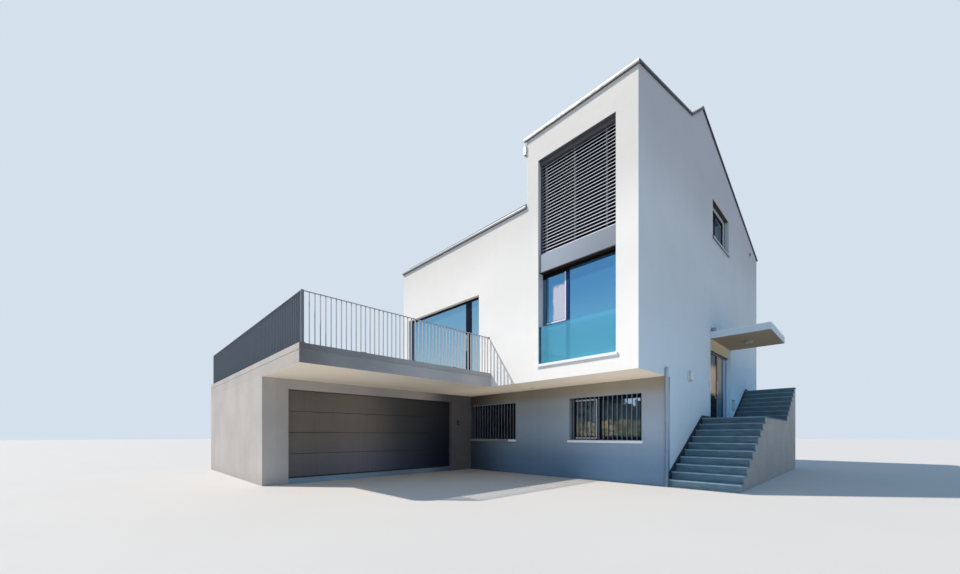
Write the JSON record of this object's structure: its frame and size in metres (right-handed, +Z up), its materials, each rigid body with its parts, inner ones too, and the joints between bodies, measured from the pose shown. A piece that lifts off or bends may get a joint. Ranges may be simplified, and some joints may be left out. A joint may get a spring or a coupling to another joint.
{
  "type": "detached house",
  "caption": "Modern hillside house: asymmetric roof with a tower bay, recessed lower storey, garage wing under a railed terrace, gable entrance with canopy and outside stairs.",
  "frame": {"origin": "on the ground, in the middle of the main block's plan", "axes": "+Z up, -Y towards the front with the terrace, +X towards the entrance gable"},
  "size_m": [14.645, 17.395, 10.77],
  "materials": {
    "white_render": "matt mineral render",
    "grey_render": "matt mineral render",
    "fair_concrete": "fair-faced",
    "screed": "floated",
    "slate_steps": "honed",
    "skirting": "honed",
    "roof_timber": "planed",
    "roof_sheet": "satin",
    "bright_metal": "satin",
    "dark_metal": "satin",
    "rail_metal": "satin",
    "garage_brown": "satin",
    "panel_grey": "satin",
    "slat_grey": "satin",
    "window_glass": "clear",
    "satin_glass": "satin",
    "lamp_white": "opal"
  },
  "bodies": {
    "house": {"ground_floor": "screed", "lower_front_wall": "grey_render", "garage_front_wall": "fair_concrete", "garage_left_wall": "fair_concrete", "garage_back_wall": "fair_concrete", "garage_door_wall": "fair_concrete", "garage_door": "garage_brown", "left_wall": "white_render", "back_wall": "white_render", "front_wall": "white_render", "gable_wall_front": "white_render", "gable_wall_back": "white_render", "gable_wall_over_door": "white_render", "gable_wall_under_door": "white_render", "living_floor": "grey_render", "upper_floor": "grey_render", "entry_floor": "grey_render", "roof_deck_front": "roof_timber", "roof_deck_back": "roof_timber", "tower_roof_deck": "roof_timber", "tower_cheek": "white_render", "roof_cover_front": "roof_sheet", "roof_cover_back": "roof_sheet", "tower_roof_cover": "roof_sheet", "gutters": "bright_metal", "terrace_slab": "fair_concrete", "terrace_topping": "fair_concrete", "railing_front": "rail_metal", "railing_sides": "rail_metal", "lower_stair": "slate_steps", "stair_landing": "slate_steps", "upper_stair": "slate_steps", "stair_treads": "slate_steps", "stair_skirting": "skirting", "entry_canopy": "white_render", "entry_frame": "dark_metal", "entry_sidelight": "satin_glass", "tower_window_frames": "dark_metal", "tower_glass": "window_glass", "glass_balustrade": "window_glass", "spandrel_panel": "panel_grey", "blind_slats": "slat_grey", "blind_case": "dark_metal", "terrace_door_frame": "dark_metal", "terrace_door_glass": "window_glass", "window_frames": "dark_metal", "window_glass": "window_glass", "window_bars": "bright_metal", "window_sills": "bright_metal", "corner_downpipe": "bright_metal", "downpipes": "bright_metal", "lamps": "lamp_white", "wall_fittings": "panel_grey"},
    "entry_leaf": {"entry_door": "dark_metal", "door_handle": "bright_metal"}
  },
  "joints": [
    {"name": "entry_door_hinge", "type": "hinge", "parent": "house", "child": "entry_leaf", "pos_m": [4.248, -0.7255, 1.725], "axis": [0, 0, 1], "range_deg": [0, 90]}
  ]
}
